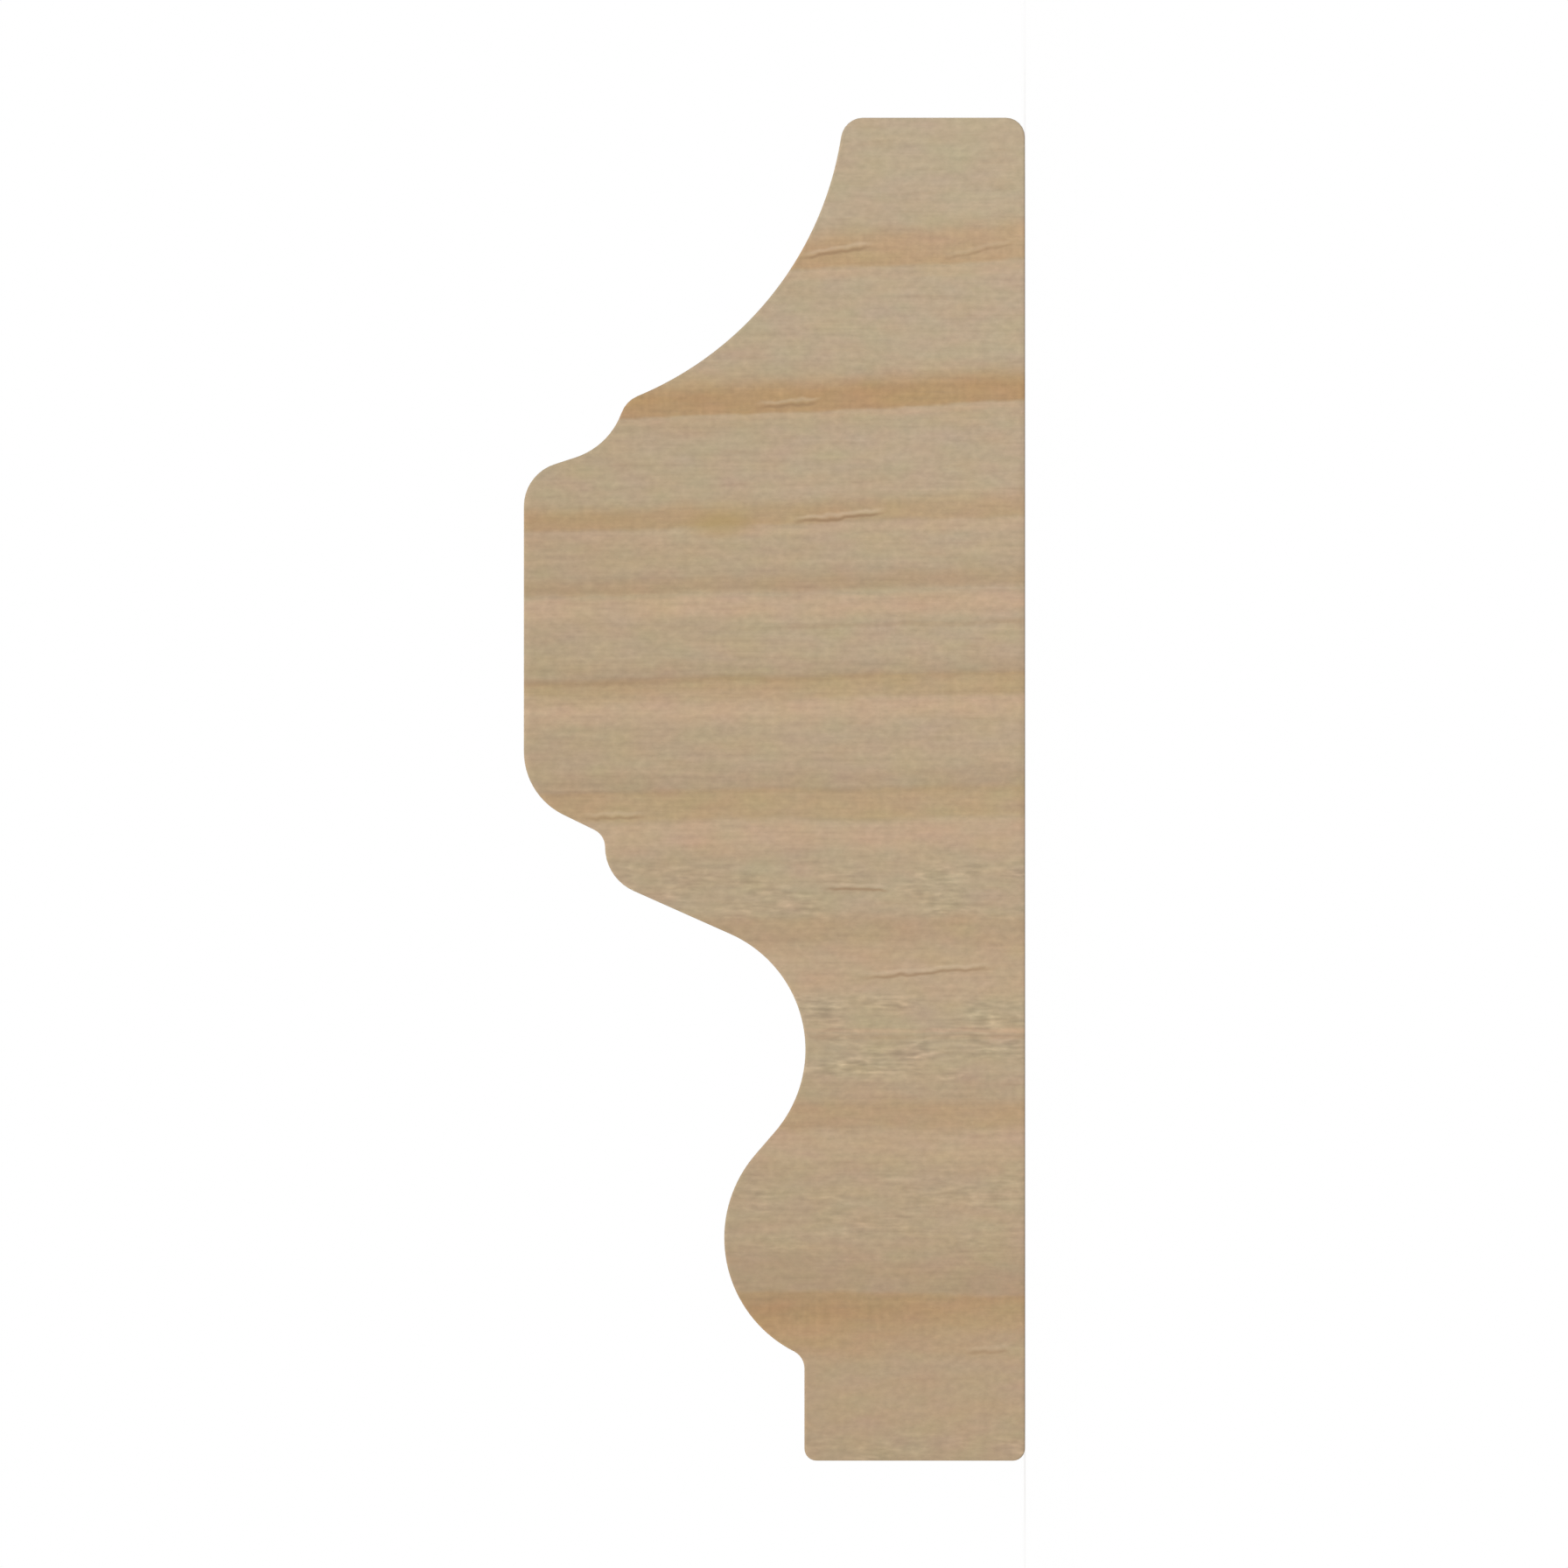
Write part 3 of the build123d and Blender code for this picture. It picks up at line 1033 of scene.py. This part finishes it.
# %% Three soft lamps
def soft_lamp(name, towards, level, spread):
    """A wide sun lamp that stands in a direction from the board, at a level where 1 is white."""
    lamp = bpy.data.lights.new(name, "SUN")
    lamp.energy = level * pi
    lamp.angle = radians(spread)
    made = bpy.data.objects.new(name, lamp)
    made.rotation_euler = Vector(towards).to_track_quat("Z", "Y").to_euler()
    bpy.context.scene.collection.objects.link(made)
    return made


key = soft_lamp("key", towards=(0.35, -0.80, 0.50), level=0.635, spread=35)
fill = soft_lamp("fill", towards=(-0.65, -0.25, 0.72), level=0.40, spread=50)
rear = soft_lamp("rear", towards=(0.10, 0.90, 0.42), level=0.32, spread=50)
print("lamps", key.name, fill.name, rear.name)

# %% [markdown]
# ## Camera
# The picture is a square, and the section stands upright in it: the top edge up, the back to the
# right. The scale comes from the section's own width between two named lines of the picture. The eye
# sits just off the back, level with the scotia. From there the cut end hides every long face behind
# it, and the floor is seen edge-on. A very long lens keeps the section true.

# %% Camera
frame_pixels = 1792
top_line = 134.0
foot_line = 1669.0
back_line = 1171.3
eye_pixel = (1166, 1110)
lens = 500.0
sensor = 36.0
pixel = board_width * MM / (foot_line - top_line)


def on_end(across_pixel, down_pixel):
    """The point of the cut end's plane that shows at a pixel of the picture."""
    across = low.x + (foot_line - down_pixel) * pixel
    out = low.z + (back_line - across_pixel) * pixel
    return Vector((across, low.y, out))


aim = on_end(frame_pixels / 2, frame_pixels / 2)
eye = on_end(*eye_pixel)
eye.y -= frame_pixels * pixel * lens / sensor
forward = (aim - eye).normalized()
right = forward.cross(Vector((1, 0, 0))).normalized()
up = right.cross(forward)
camera_data = bpy.data.cameras.new("camera")
camera_data.lens = lens
camera_data.sensor_width = sensor
camera = bpy.data.objects.new("camera", camera_data)
camera.matrix_world = Matrix.Translation(eye) @ Matrix((right, up, -forward)).transposed().to_4x4()
bpy.context.scene.collection.objects.link(camera)
bpy.context.scene.camera = camera
bpy.context.scene.view_settings.view_transform = "Standard"
print(f"eye {(low.y - eye.y) / MM:.0f} mm in front of the cut end, {pixel / MM:.5f} mm a pixel")
